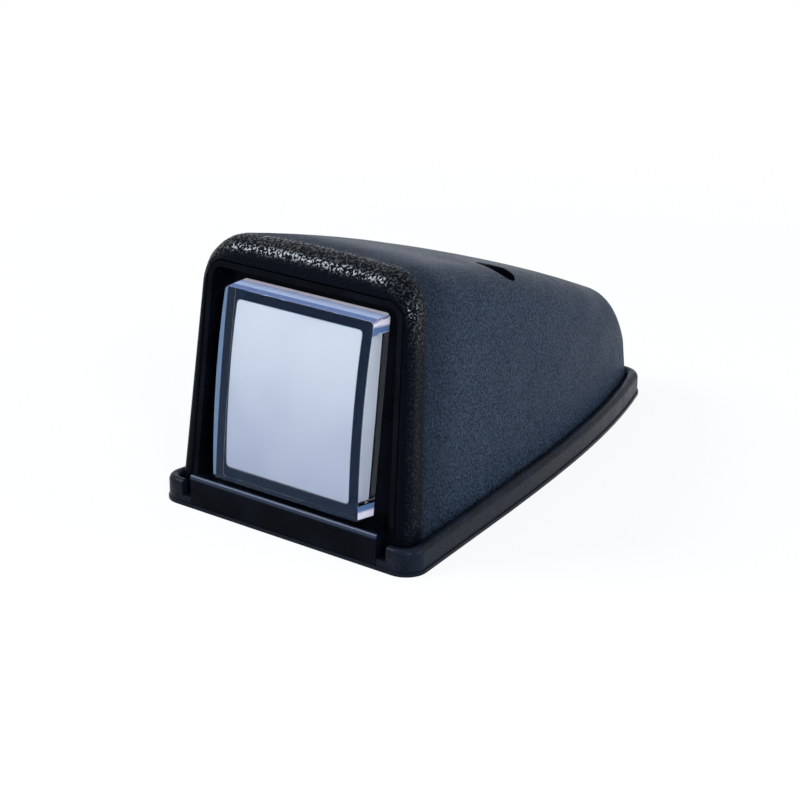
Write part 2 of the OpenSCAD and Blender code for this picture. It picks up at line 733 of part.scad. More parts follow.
// The inlet of the lead: a grooved rubber grommet in the back cover
module lead_grommet() {
    color([0.12, 0.12, 0.12]) lamp_frame() difference() {
        union() {
            pin(0, grommet_z, grommet_r, cover_y - eps, cover_back + eps);
            pin(0, grommet_z, grommet_r + grommet_lip, cover_back, cover_back + grommet_lip_t);
            pin(0, grommet_z, grommet_r + grommet_inner_lip, cover_y - grommet_inner_t, cover_y);
            translate([0, cover_back + grommet_lip_t - eps, grommet_z]) rotate([-90, 0, 0])
                cylinder(r1 = grommet_r, r2 = grommet_nose_r, h = grommet_nose);
        }
        pin(0, grommet_z, lead_r, cover_y - grommet_inner_t - 1, reach);
    }
}

module body_screws() {
    head_r = body_screw_d - 0.1;
    color([0.75, 0.75, 0.75]) at_body_screws() translate([0, 0, gasket_t]) difference() {
        union() {
            cylinder(d = body_screw_d, h = body_screw_l);
            cylinder(r1 = head_r, r2 = body_screw_d / 2, h = body_screw_d / 2);
        }
        cross(head_r * 1.2, 0.6, 0.8);
    }
}

hood();
base_gasket();
lamp_body();
lens();
lens_seal();
diffuser();
reflector();
diode_board();
diode_1();
diode_2();
diode_3();
diode_4();
board_screws();
resistor_1();
resistor_2();
polarity_diode();
current_regulator();
capacitor();
terminal_block();
cover_seal();
back_cover();
cover_screws();
lead_grommet();
body_screws();
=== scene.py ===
"""Looks of a roof marker light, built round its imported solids."""
import json
import math

import bmesh
import bpy
from bpy.props import FloatProperty, FloatVectorProperty, IntProperty, PointerProperty
from bpy.types import Operator, Panel, PropertyGroup
from mathutils import Matrix, Vector


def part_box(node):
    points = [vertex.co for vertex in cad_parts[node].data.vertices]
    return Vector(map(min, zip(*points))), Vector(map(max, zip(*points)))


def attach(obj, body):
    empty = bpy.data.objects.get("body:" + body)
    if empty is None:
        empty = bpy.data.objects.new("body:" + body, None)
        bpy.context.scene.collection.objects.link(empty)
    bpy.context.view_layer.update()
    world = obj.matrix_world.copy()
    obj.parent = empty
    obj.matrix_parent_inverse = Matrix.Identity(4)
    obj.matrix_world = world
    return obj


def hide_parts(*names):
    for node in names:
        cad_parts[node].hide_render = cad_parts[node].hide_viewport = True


bl_info = {
    "name": "Roof marker light",
    "version": (1, 0, 0),
    "blender": (4, 5, 0),
    "location": "3D View > Sidebar > Marker light",
    "description": "Dresses the solids of a truck cab's roof marker light and lights them",
    "category": "Object",
}

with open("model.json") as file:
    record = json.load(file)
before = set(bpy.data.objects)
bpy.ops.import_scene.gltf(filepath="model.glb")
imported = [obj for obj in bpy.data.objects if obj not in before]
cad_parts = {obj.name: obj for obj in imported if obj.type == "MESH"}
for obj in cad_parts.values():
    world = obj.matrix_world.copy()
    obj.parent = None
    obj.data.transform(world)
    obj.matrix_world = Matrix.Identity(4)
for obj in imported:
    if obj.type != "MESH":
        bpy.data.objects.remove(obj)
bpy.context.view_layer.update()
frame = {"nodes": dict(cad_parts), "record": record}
BODY = "root"
MM = 0.001

HOOD_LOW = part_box("hood")[0]
MOUNTS = {mount["name"]: mount for mount in frame["record"]["mounts"]}
WELLS = [Vector(MOUNTS[name]["pos_m"]) for name in ("well_right", "well_left")]
WELL_R = MOUNTS["well_right"]["dims"]["r_mm"] * MM

# The lamp unit leans back, and this matrix places things square to its panel.
LAMP_LEAN = math.radians(7.3)
PANEL_FOOT = Vector((0, -70.9, 9.7)) * MM
LENS_HALF_H = 27.15 * MM
LAMP_PLACE = (
    Matrix.Translation(PANEL_FOOT)
    @ Matrix.Rotation(-LAMP_LEAN, 4, "X")
    @ Matrix.Translation((0, 0, LENS_HALF_H))
)

# Folds in degrees past which an edge is rounded, and distances that count as none.
SHARP_FOLD, MOULDED_FOLD, SQUARE_FOLD = 30, 40, 60
NOTHING, CUT_NOTHING = 1e-6, 1e-7
# How nearly a face's normal lies along an axis when the face counts as square to it.
SQUARE, ALL_SQUARE = 0.9, 0.99

# How far the hood's front goes back for each unit of its height.
FRONT_LEAN = 0.105
# The edge round the hood's opening lies within these, and this near to the front's plane.
OPENING_HALF_W = 36 * MM
OPENING_LOW, OPENING_HIGH = 2 * MM, 69.5 * MM
FRONT_PLAY = 0.25 * MM
# The mouths of the wells lie above this height, and their edges this near to the wells' radius.
MOUTH_LOW = 50 * MM
MOUTH_PLAY = 0.05 * MM

# Between these distances outside a well's wall its smooth finish and painted shade give way to the grain.
WELL_EDGE = (WELL_R + 0.02 * MM, WELL_R + 0.12 * MM)
# The hood's grain: sizes and reaches as shares of one cell, and heights as shares of the depth.
WARP_SIZE, WARP_REACH = 2.2, 0.9
FINE_SIZE, SPARK_SIZE = 0.42, 1.2
CELL_SOFTNESS = 0.35
CELL_HEIGHT, FINE_HEIGHT, HOLLOW_REACH = 1.15, 0.45, 1.5
# The glossier front, painted darker as shade, thins out between these shares of its depth.
FRONT_FROM, FRONT_TO = 0.55, 1.3
# Glints start at this distance behind the front's plane, and are strongest above the second height.
GLINT_BEHIND = (0.3 * MM, 1.2 * MM)
GLINT_HEIGHTS = (52 * MM, 66 * MM)
GLINT_LOW_SHARE = 0.2

# The rounded nose of the sill, which gets a painted highlight, lies above these heights and in front of these
# places.
NOSE_HEIGHTS = (8.2 * MM, 8.8 * MM)
NOSE_PLACES = (-77.9 * MM, -77.7 * MM)

# Where the front of a box stands before it is laid on the lens's round face.
LENS_FAR, PLATE_FAR = -12 * MM, -11 * MM
# The lens's top starts to fall above this height over its middle.
TOP_BEND = 12 * MM
# The painted light on the lens's sides sets in between these distances from the side.
LIT_FROM, LIT_TO = 0.2 * MM, 0.05 * MM
# Depths at which the painted light on the top changes its tone, and heights at which that on an end does.
TOP_TURNS = (3.9 * MM, 4.4 * MM)
TOP_BACK = (0.3 * MM, 0.9 * MM)
PATCH_TURNS = (1.2 * MM, 2.2 * MM)
PATCH_EDGE = 0.1 * MM
# The pale plate darkens with painted shade between these heights, and its skirt has a painted glow outside
# these distances.
PLATE_HEIGHTS = (12 * MM, 62 * MM)
SKIRT_FROM, SKIRT_TO = -0.12 * MM, -0.02 * MM
PLATE_EDGE_RADIUS, PLATE_EDGE_Y = 0.35 * MM, -1 * MM

# Name, place, size, power and colour of each studio light.
LIGHTS = (
    ("key", (-0.62, -0.52, 0.74), (0.42, 0.42), 8.5, (0.82, 0.91, 1.0)),
    ("rim", (-0.55, 0.85, 0.3), (0.8, 0.3), 1.0, (0.62, 0.74, 1.0)),
    ("side", (0.9, 0.35, 0.3), (0.5, 0.4), 5.7, (0.70, 0.83, 1.0)),
    ("corner", (0.76, -0.57, 0.53), (0.2, 0.2), 5.4, (0.84, 0.91, 1.0)),
)
LIGHTS_AIM = Vector((0, 0, 0.03))
FLOOR_HALF = 4.0
SENSOR_MM = 36
CLIP_START = 0.01


def colour(name, description, default):
    return FloatVectorProperty(
        name=name, description=description, default=default, subtype="COLOR", min=0, max=1,
    )


def length(name, description, default, high=100):
    return FloatProperty(
        name=name, description=description, default=default * MM, min=0, max=high * MM,
        subtype="DISTANCE", unit="LENGTH", precision=5,
    )


def share(name, description, default):
    return FloatProperty(
        name=name, description=description, default=default, min=0, max=1, subtype="FACTOR",
    )


class HoodSettings(PropertyGroup):
    """Sizes and colours of the moulded hood"""

    colour: colour("Colour", "Colour of the moulded plastic", (0.008, 0.013, 0.021))
    bloom: colour("Bloom", "Paler tone of the flecks in the grain", (0.032, 0.045, 0.067))
    # Painted shade: the front and the inside of the wells are painted in this deeper tone.
    front_painted_shade: colour("Front colour", "Deeper tone of the glossier front", (0.0015, 0.0022, 0.0040))
    front_depth: length("Front depth", "How far back the glossier front reaches", 7.0)
    # Painted shade: the hood is painted a little darker towards its front, and is also made rougher there.
    fade_depth: length("Fade depth", "How far back the hood is a little darker", 30.0)
    fade: share("Fade", "How much darker and rougher the hood is towards its front", 0.4)
    gloss_tint: colour("Gloss tint", "Tint of what the plastic mirrors head-on", (0.45, 0.68, 1.0))
    grain_size: length("Grain size", "Width of one cell of the moulded grain", 0.55)
    grain_depth: length("Grain depth", "Depth of the moulded grain", 0.15)
    roughness: share("Roughness", "Roughness of the top of the grain", 0.3)
    sparkle: share("Sparkle", "How strongly the grain of the front glints", 0.95)
    edge_radius: length("Edge radius", "Rounding of the edge round the opening", 0.45)
    lip_radius: length("Lip radius", "Rounding of the mouths of the wells", 0.3)


class GasketSettings(PropertyGroup):
    """Sizes and colours of the rubber gasket"""

    colour: colour("Colour", "Colour of the rubber", (0.0036, 0.0054, 0.0095))
    edge_radius: length("Edge radius", "Rounding of the moulded edges", 0.3)
    roughness: share("Roughness", "Roughness of the rubber", 0.34)


class UnitSettings(PropertyGroup):
    """Sizes and colours of the lamp unit's moulding"""

    colour: colour("Colour", "Colour of the smooth plastic", (0.0016, 0.0021, 0.0036))
    edge_radius: length("Edge radius", "Rounding of the moulded edges", 0.3)
    # Painted highlight: the sill's rounded nose is painted in this bluer tone.
    nose_painted_highlight: colour("Nose colour", "Bluer tone of the sill's rounded nose", (0.006, 0.016, 0.040))
    nose_gloss: share("Nose gloss", "Gloss of the sill's rounded nose", 0.6)
    roughness: share("Roughness", "Roughness of the smooth plastic", 0.3)


class LensSettings(PropertyGroup):
    """Sizes and colours of the lens and of the plate behind it"""

    width: length("Width", "Width of the lens", 50)
    height: length("Height", "Height of the lens along its face", 54.3)
    proud: length("Proud", "How far the edge of the lens stands out from the panel", 6.35)
    bulge: length("Bulge", "Bulge of the face over its own edge", 1.5)
    face_thickness: length("Face thickness", "Thickness of the lens face", 1.5)
    side_thickness: length("Side thickness", "Thickness of the lens sides", 3.7)
    foot: length("Foot", "Depth of the lens foot behind the panel's front", 1.55)
    corner_radius: length("Corner radius", "Radius of the lens corners", 1.25)
    edge_radius: length("Edge radius", "Rounding of the polished edges", 0.22)
    gap: length("Gap", "Gap between the lens and the plate", 0.15)
    plate_thickness: length("Plate thickness", "Thickness of the pale plate and its skirt", 1.5)
    tint: colour("Tint", "Tint of the clear plastic", (0.99, 0.995, 1.0))
    gloss_tint: colour("Gloss tint", "Tint of what the clear plastic mirrors head-on", (0.02, 0.10, 0.26))
    plate_colour: colour("Plate colour", "Colour of the pale plate", (0.76, 0.83, 0.93))
    # Painted shade: the plate is painted darker towards its foot.
    plate_painted_shade: colour("Plate shade", "Colour of the pale plate towards its foot", (0.46, 0.52, 0.70))
    # Painted glow: the skirt glows though it is no lamp.
    side_painted_glow: share("Side glow", "Light that the opal skirt lets out of its sides", 0.18)
    top_drop: length("Top drop", "How far the front of the lens's top falls below its back", 1.4)
    plate_drop: length("Plate drop", "How far the front of the plate's top falls below its back", 0.6)
    # Painted light: the strip, the top and the ends below are opaque faces painted with the light that shows
    # through the clear sides.
    strip_start: length("Strip start", "Distance from the panel to the lit strip of the lens's side", 4.25)
    strip_painted_light: colour("Strip colour", "Colour of the lit strip down the lens's side", (0.17, 0.26, 0.40))
    top_painted_light: colour("Top colour", "Colour of the back of the lens's lit top", (0.30, 0.36, 0.52))
    top_painted_shade: colour("Top shade", "Colour of the front of the lens's lit top", (0.10, 0.14, 0.27))
    patch_painted_light: colour("Patch colour", "Colour of the lit ends of the lens's side", (0.62, 0.58, 0.68))
    patch_painted_shade: colour("Patch shade", "Colour of the lit ends next to the clear side", (0.07, 0.13, 0.26))
    patch_height: length("Patch height", "Height of the lit ends of the lens's side", 4.4)
    bed_colour: colour("Bed colour", "Colour of the compound under the lens's foot", (0.0001, 0.006, 0.022))
    curve_steps: IntProperty(
        name="Curve steps", description="Steps up the bulged face", default=24, min=4, max=64,
    )


class InsideSettings(PropertyGroup):
    """Colours of the hidden parts, each with the paler tone that clouds it"""

    seal: colour("Seal", "Colour of the seals' rubber", (0.006, 0.006, 0.007))
    seal_pale: colour("Seal, paler", "Paler tone of the seals' rubber", (0.014, 0.014, 0.016))
    white: colour("White", "Colour of the white plastic", (0.78, 0.79, 0.80))
    white_pale: colour("White, paler", "Paler tone of the white plastic", (0.86, 0.86, 0.85))
    board: colour("Board", "Colour of the circuit board", (0.010, 0.075, 0.030))
    board_pale: colour("Board, paler", "Paler tone of the circuit board", (0.020, 0.12, 0.05))
    diode: colour("Diode", "Colour of the diodes' resin", (0.85, 0.74, 0.22))
    diode_pale: colour("Diode, paler", "Paler tone of the diodes' resin", (0.9, 0.86, 0.55))
    resin: colour("Resin", "Colour of the small parts' black resin", (0.012, 0.012, 0.013))
    resin_pale: colour("Resin, paler", "Paler tone of the black resin", (0.030, 0.030, 0.032))
    can: colour("Can", "Colour of the capacitor's can", (0.66, 0.66, 0.68))
    can_pale: colour("Can, paler", "Paler tone of the can", (0.78, 0.78, 0.79))
    zinc: colour("Zinc", "Colour of the screws' zinc plate", (0.50, 0.51, 0.53))
    zinc_pale: colour("Zinc, paler", "Paler tone of the zinc plate", (0.66, 0.66, 0.67))


class StageSettings(PropertyGroup):
    """Floor, light and camera"""

    floor: colour("Floor", "Colour of the floor", (0.90, 0.92, 0.94))
    floor_lift: share("Floor lift", "Share of plain white in the floor's colour near the lamp", 0.87)
    lift_start: length("Lift start", "Distance at which the floor starts to turn white", 150, 1000)
    lift_end: length("Lift end", "Distance at which the floor is all white", 450, 1000)
    back: colour("Background", "Colour behind the object", (1.0, 1.0, 1.0))
    fill: colour("Fill", "Colour of the light from all round", (0.86, 0.92, 1.0))
    fill_strength: share("Fill strength", "Strength of the light from all round", 0.45)
    camera_place: FloatVectorProperty(
        name="Camera place", description="Where the camera stands", default=(0.3343, -0.4628, 0.2285),
        subtype="TRANSLATION", unit="LENGTH",
    )
    camera_back: FloatVectorProperty(
        name="Camera back", description="Direction from the object to the camera",
        default=(0.57035, -0.74346, 0.34923), subtype="DIRECTION",
    )
    camera_roll: FloatProperty(
        name="Camera roll", description="Turn of the camera about its own axis",
        default=math.radians(0.41), subtype="ANGLE",
    )
    focal_length: FloatProperty(
        name="Focal length", description="Focal length in millimetres on a 36 mm sensor",
        default=94.547, min=10,
    )


class MarkerLampSettings(PropertyGroup):
    """Everything that a user would change"""

    hood: PointerProperty(type=HoodSettings, name="Hood", description="Moulded hood")
    gasket: PointerProperty(type=GasketSettings, name="Gasket", description="Rubber gasket")
    unit: PointerProperty(type=UnitSettings, name="Lamp unit", description="Lamp unit's moulding")
    lens: PointerProperty(type=LensSettings, name="Lens", description="Lens and pale plate")
    inside: PointerProperty(type=InsideSettings, name="Hidden parts", description="Hidden parts")
    stage: PointerProperty(type=StageSettings, name="Stage", description="Floor, light and camera")


class Socket:
    """A shader output that takes part in arithmetic: an expression adds its Math nodes"""

    def __init__(self, finish, output):
        self.finish = finish
        self.output = output

    def math(self, operation, *values):
        inputs = dict(enumerate((self, *values)))
        return self.finish.node("ShaderNodeMath", {"operation": operation}, inputs)

    def __add__(self, other):
        return self.math("ADD", other)

    def __radd__(self, other):
        return self.math("ADD", other)

    def __sub__(self, other):
        return self.math("SUBTRACT", other)

    def __rsub__(self, other):
        return self.finish.node("ShaderNodeMath", {"operation": "SUBTRACT"}, {0: other, 1: self})

    def __mul__(self, other):
        return self.math("MULTIPLY", other)

    def __rmul__(self, other):
        return self.math("MULTIPLY", other)

    def clamp(self):
        return self.finish.node("ShaderNodeClamp", {}, {"Value": self})

    def ramp(self, low, high, out_low=0.0, out_high=1.0):
        """Runs smoothly from one value to the other as this one goes from low to high"""
        return self.finish.node(
            "ShaderNodeMapRange", {"interpolation_type": "SMOOTHSTEP"},
            {"Value": self, "From Min": low, "From Max": high, "To Min": out_low, "To Max": out_high},
        )

    def vary(self, low, high):
        """Spreads a noise, which seldom leaves 0.3 to 0.7, over other values"""
        return self.ramp(0.3, 0.7, low, high)


class Finish:
    """The nodes of one procedural material or of the world. Every one of them comes from node()."""

    renamed = {"Ior": "IOR", "Specular Level": "Specular IOR Level"}

    def __init__(self, block):
        block.use_nodes = True
        self.block = block
        self.tree = block.node_tree
        self.tree.nodes.clear()

    def node(self, kind, settings, inputs, output=0):
        made = self.tree.nodes.new(kind)
        for name, value in settings.items():
            setattr(made, name, value)
        for name, value in inputs.items():
            socket = made.inputs[name]
            if isinstance(value, Socket):
                self.tree.links.new(value.output, socket)
            elif socket.type == "RGBA":
                socket.default_value = (*value, 1.0)
            else:
                socket.default_value = value
        return Socket(self, made.outputs[output]) if made.outputs else None

    def place(self):
        return self.node("ShaderNodeTexCoord", {}, {}, "Object")

    def axis(self, index):
        return self.node("ShaderNodeSeparateXYZ", {}, {"Vector": self.place()}, index)

    def along(self, index):
        """How far a point lies along one of the lamp unit's own axes"""
        inputs = {0: self.place(), 1: LAMP_PLACE.translation}
        away = self.node("ShaderNodeVectorMath", {"operation": "SUBTRACT"}, inputs)
        inputs = {0: away, 1: LAMP_PLACE.col[index].xyz}
        return self.node("ShaderNodeVectorMath", {"operation": "DOT_PRODUCT"}, inputs, "Value")

    def noise(self, size, detail=2.0, output=0):
        """Cloudy noise whose patches are about this size"""
        inputs = {"Vector": self.place(), "Scale": 1 / size, "Detail": detail}
        return self.node("ShaderNodeTexNoise", {}, inputs, output)

    def cells(self, size, place, smoothness):
        """Distance to the middle of the nearest cell, for cells of about this size"""
        inputs = {"Vector": place, "Scale": 1 / size, "Randomness": 1.0, "Smoothness": smoothness}
        return self.node("ShaderNodeTexVoronoi", {"feature": "SMOOTH_F1"}, inputs, "Distance")

    def mix(self, factor, first, second):
        return self.node("ShaderNodeMix", {"data_type": "RGBA"}, {0: factor, 6: first, 7: second}, 2)

    def bump(self, height, distance):
        return self.node("ShaderNodeBump", {}, {"Height": height, "Distance": distance})

    def looked_along(self):
        """One for a ray that the camera, a mirror or clear plastic looks along"""
        seen, glossy, through = (
            self.node("ShaderNodeLightPath", {}, {}, f"Is {kind} Ray")
            for kind in ("Camera", "Glossy", "Transmission")
        )
        return (seen + glossy + through).clamp()

    def shade(self, **inputs):
        """Ends a material in one principled shader"""
        titles = {name: name.replace("_", " ").title() for name in inputs}
        named = {self.renamed.get(titles[name], titles[name]): value for name, value in inputs.items()}
        return self.end(self.node("ShaderNodeBsdfPrincipled", {}, named))

    def end(self, shader, kind="ShaderNodeOutputMaterial"):
        self.node(kind, {}, {"Surface": shader})
        return self.block


def new_finish(name):
    return Finish(bpy.data.materials.new(name))


def clouded(name, tones, size, rough, depth, detail=3.0, relief=None, spread=None, **more):
    """A plain finish whose tone and roughness change a little in clouds of about this size"""
    finish = new_finish(name)
    cloud = finish.noise(size, detail)
    height = finish.noise(relief) if relief else cloud
    factor = cloud.ramp(*spread) if spread else cloud
    return finish.shade(
        base_color=finish.mix(factor, *tones),
        roughness=cloud.vary(*rough),
        normal=finish.bump(height, depth),
        **more,
    )


def hidden_tones(name):
    """The two tones of one of the hidden parts' colours"""
    inside = settings().inside
    return getattr(inside, name), getattr(inside, f"{name}_pale")


def paler(tone, factor):
    return tuple(min(1.0, part * factor) for part in tone)


def flat_distance(x, y):
    return (x * x + y * y).math("SQRT")


def settings():
    return bpy.context.scene.marker_lamp


def merged_copy(node):
    """A copy of a CAD node's mesh with its loose triangles joined into whole faces"""
    near, flat = 0.002 * MM, math.radians(0.6)
    bm = bmesh.new()
    bm.from_mesh(frame["nodes"][node].data)
    bmesh.ops.remove_doubles(bm, verts=bm.verts, dist=near)
    bmesh.ops.dissolve_degenerate(bm, edges=bm.edges, dist=near)
    bmesh.ops.dissolve_limit(
        bm, angle_limit=flat, use_dissolve_boundaries=False, verts=bm.verts, edges=bm.edges, delimit=set(),
    )
    return bm


def sharp_edges(bm, least_angle, keep=lambda edge: True):
    least = math.radians(least_angle)
    return [
        edge for edge in bm.edges
        if len(edge.link_faces) == 2 and edge.calc_face_angle(0) > least and keep(edge)
    ]


def round_edges(bm, edges, radius, segments=3, clamp=True):
    if not edges:
        raise RuntimeError("There are no edges to round")
    bmesh.ops.bevel(
        bm, geom=edges, offset=radius, offset_type="OFFSET", affect="EDGES", segments=segments, profile=0.5,
        material=-1, clamp_overlap=clamp,
    )


def add_piece(name, bm, material, stands_for, smooth_angle=40):
    """Turns a bmesh into a piece of the lamp that rides on the body"""
    mesh = bpy.data.meshes.new(name)
    bm.to_mesh(mesh)
    bm.free()
    mesh.polygons.foreach_set("use_smooth", [True] * len(mesh.polygons))
    mesh.set_sharp_from_angle(angle=math.radians(smooth_angle))
    mesh.materials.append(material)
    piece = bpy.data.objects.new(name, mesh)
    bpy.context.scene.collection.objects.link(piece)
    flats = piece.modifiers.new("flat faces stay flat", "WEIGHTED_NORMAL")
    flats.weight = 50
    flats.keep_sharp = True
    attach(piece, BODY)
    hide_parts(*stands_for)
    return piece


def dress(material, *nodes):
    """Gives carried-over CAD nodes their finish"""
    for node in nodes:
        mesh = frame["nodes"][node].data
        mesh.materials.clear()
        mesh.materials.append(material)


class MARKERLAMP_OT_hood(Operator):
    """Rounds the hood's edges and gives it its moulded grain"""

    bl_idname = "marker_lamp.hood"
    bl_label = "Hood"
    bl_options = {"REGISTER", "UNDO"}

    def grain(self, finish, cell):
        """Height of the pebbled grain and how deep its hollows are"""
        warp = finish.noise(cell * WARP_SIZE, 1.0, 1)
        shifted = finish.node(
            "ShaderNodeVectorMath", {"operation": "MULTIPLY_ADD"},
            {0: warp, 1: (cell * WARP_REACH,) * 3, 2: finish.place()},
        )
        pebbles = finish.cells(cell, shifted, CELL_SOFTNESS)
        height = pebbles * CELL_HEIGHT + finish.noise(cell * FINE_SIZE) * FINE_HEIGHT
        return height, (pebbles * HOLLOW_REACH).clamp()

    def material(self, sizes):
        finish = new_finish("hood_grained_plastic")
        x, y, z = (finish.axis(i) for i in range(3))
        right, left = (flat_distance(x - well.x, y - well.y).ramp(*WELL_EDGE) for well in WELLS)
        outside = right * left
        height, hollows = self.grain(finish, sizes.grain_size)
        behind = y - (HOOD_LOW.y - FRONT_LEAN * HOOD_LOW.z) - FRONT_LEAN * z
        front = 1 - behind.ramp(sizes.front_depth * FRONT_FROM, sizes.front_depth * FRONT_TO)
        # Painted shade that darkens the hood towards its front, with a real roughening behind the glossier
        # front.
        fade = (1 - behind.ramp(sizes.front_depth, sizes.fade_depth)) * sizes.fade
        flecks = finish.noise(sizes.grain_size, 1.0).ramp(0.40, 0.62)
        round_part = behind.ramp(*GLINT_BEHIND) * front * z.ramp(*GLINT_HEIGHTS, GLINT_LOW_SHARE, 1.0)
        sparks = finish.noise(sizes.grain_size * SPARK_SIZE, 1.0).ramp(0.50, 0.62) * round_part
        skin = finish.mix(flecks, sizes.colour, sizes.bloom)
        worn = finish.noise(14 * MM, 3.0).vary(sizes.roughness - 0.04, sizes.roughness + 0.04)
        rough = worn + hollows * 0.12 + fade * (1 - front) * 0.6
        # The base colour paints shade over the front, towards it and inside the wells.
        return finish.shade(
            base_color=finish.mix((front + fade + 1 - outside).clamp(), skin, sizes.front_painted_shade),
            roughness=rough * (outside * 0.7 + 0.3),
            normal=finish.bump(height * outside, sizes.grain_depth),
            specular_level=0.025,
            specular_tint=sizes.gloss_tint,
            coat_weight=((1 - outside) * 0.5 + sparks * sizes.sparkle).clamp(),
            coat_roughness=0.25,
        )

    def on_opening(self, edge):
        """Whether an edge runs round the opening, in the plane of the hood's leaning front"""
        middle = (edge.verts[0].co + edge.verts[1].co) / 2
        return abs(middle.x) < OPENING_HALF_W and OPENING_LOW < middle.z < OPENING_HIGH and all(
            abs(v.co.y - (HOOD_LOW.y + FRONT_LEAN * (v.co.z - HOOD_LOW.z))) < FRONT_PLAY for v in edge.verts
        )

    def on_mouth(self, edge):
        """Whether an edge runs round the mouth of a well"""
        return min(v.co.z for v in edge.verts) > MOUTH_LOW and any(
            all(abs((v.co - well).xy.length - WELL_R) < MOUTH_PLAY for v in edge.verts) for well in WELLS
        )

    def execute(self, context):
        sizes = settings().hood
        bm = merged_copy("hood")
        round_edges(bm, sharp_edges(bm, SHARP_FOLD, self.on_mouth), sizes.lip_radius, segments=4, clamp=False)
        round_edges(bm, sharp_edges(bm, SHARP_FOLD, self.on_opening), sizes.edge_radius, clamp=False)
        add_piece("hood_shell", bm, self.material(sizes), ("hood",), smooth_angle=32)
        return {"FINISHED"}


class MARKERLAMP_OT_gasket(Operator):
    """Rounds the gasket's edges and gives it its rubber"""

    bl_idname = "marker_lamp.gasket"
    bl_label = "Gasket"
    bl_options = {"REGISTER", "UNDO"}

    def material(self, sizes):
        finish = new_finish("gasket_rubber")
        cloud = finish.noise(6 * MM, 4.0)
        pores = finish.noise(0.5 * MM)
        return finish.shade(
            base_color=finish.mix(cloud.ramp(0.35, 0.7), sizes.colour, paler(sizes.colour, 1.8)),
            roughness=cloud.vary(sizes.roughness - 0.05, sizes.roughness + 0.08),
            normal=finish.bump(pores, 0.06 * MM),
            specular_level=0.05,
            coat_weight=pores.ramp(0.48, 0.66) * 0.15,
            coat_roughness=0.28,
        )

    def execute(self, context):
        sizes = settings().gasket
        bm = merged_copy("base_gasket")
        round_edges(bm, sharp_edges(bm, MOULDED_FOLD), sizes.edge_radius, segments=2)
        add_piece("gasket_rim", bm, self.material(sizes), ("base_gasket",))
        return {"FINISHED"}


class MARKERLAMP_OT_lamp_unit(Operator):
    """Rounds the edges of the lamp unit's moulding and gives it its smooth plastic"""

    bl_idname = "marker_lamp.lamp_unit"
    bl_label = "Lamp unit"
    bl_options = {"REGISTER", "UNDO"}

    def material(self, sizes):
        finish = new_finish("unit_smooth_plastic")
        cloud = finish.noise(9 * MM, 3.0)
        # The nose gets a painted bluish highlight in its colour, and a real glossier coat.
        nose = finish.axis(2).ramp(*NOSE_HEIGHTS) * (1 - finish.axis(1).ramp(*NOSE_PLACES))
        skin = finish.mix(cloud.ramp(0.35, 0.7), sizes.colour, paler(sizes.colour, 2.0))
        return finish.shade(
            base_color=finish.mix(nose, skin, sizes.nose_painted_highlight),
            roughness=cloud.vary(sizes.roughness - 0.05, sizes.roughness + 0.07),
            normal=finish.bump(finish.noise(2.5 * MM), 0.01 * MM),
            specular_level=0.02,
            coat_weight=nose * sizes.nose_gloss,
            coat_roughness=0.34,
            coat_tint=(0.6, 0.8, 1.0),
        )

    def execute(self, context):
        sizes = settings().unit
        bm = merged_copy("lamp_body")
        round_edges(bm, sharp_edges(bm, MOULDED_FOLD), sizes.edge_radius, segments=2)
        material = self.material(sizes)
        add_piece("lamp_moulding", bm, material, ("lamp_body",))
        dress(material, "back_cover")
        return {"FINISHED"}


def cut(bm, place, across):
    """Cuts new edges into a mesh where a plane crosses it"""
    bmesh.ops.bisect_plane(
        bm, geom=bm.verts[:] + bm.edges[:] + bm.faces[:], dist=CUT_NOTHING, plane_co=place, plane_no=across,
    )


def rounded_box(width, height, corner, front, back, steps):
    """A box with rounded upright corners in the lamp's frame, cut into bands up its height"""
    bm = bmesh.new()
    bmesh.ops.create_cube(bm, size=1.0)
    bmesh.ops.scale(bm, vec=(width, back - front, height), verts=bm.verts)
    bmesh.ops.translate(bm, vec=(0, (front + back) / 2, 0), verts=bm.verts)
    corners = [e for e in bm.edges if abs(e.verts[0].co.y - e.verts[1].co.y) > (back - front) / 2]
    round_edges(bm, corners, corner, segments=6, clamp=False)
    for i in range(1, steps):
        level = height * (i / steps - 0.5)
        if abs(level) < height / 2 - corner * 1.05:
            cut(bm, (0, 0, level), (0, 0, 1))
    return bm


def bulge_front(bm, front, sizes, inset):
    """Lays the front of a box on the lens's round face, set in by inset"""
    radius = ((sizes.height / 2) ** 2 + sizes.bulge ** 2) / (2 * sizes.bulge)
    centre = radius - sizes.proud - sizes.bulge
    for vert in bm.verts:
        if abs(vert.co.y - front) < NOTHING:
            vert.co.y = centre - math.sqrt((radius - inset) ** 2 - vert.co.z ** 2)


def lower_top(bm, drop, depth):
    """Lets the top of a box fall towards its front"""
    highest = max(v.co.z for v in bm.verts)
    for vert in bm.verts:
        share_up = min(max((vert.co.z - TOP_BEND) / (highest - TOP_BEND), 0), 1)
        vert.co.z -= drop * share_up ** 2 * max(-vert.co.y, 0) / depth


def cap(outer, inner, back):
    """Joins two boxes into a cap that is open behind, and stands it on the lamp unit's panel"""
    bmesh.ops.reverse_faces(inner, faces=inner.faces)
    mesh = bpy.data.meshes.new("joined")
    inner.to_mesh(mesh)
    inner.free()
    outer.from_mesh(mesh)
    bpy.data.meshes.remove(mesh)
    backs = [
        f for f in outer.faces
        if abs(f.normal.y) > ALL_SQUARE and abs(f.calc_center_median().y - back) < NOTHING
    ]
    if not backs:
        raise RuntimeError("The back of the cap is missing")
    bmesh.ops.delete(outer, geom=backs, context="FACES")
    bmesh.ops.bridge_loops(outer, edges=[e for e in outer.edges if e.is_boundary])
    bmesh.ops.recalc_face_normals(outer, faces=outer.faces)
    bmesh.ops.transform(outer, matrix=LAMP_PLACE, verts=outer.verts)
    return outer


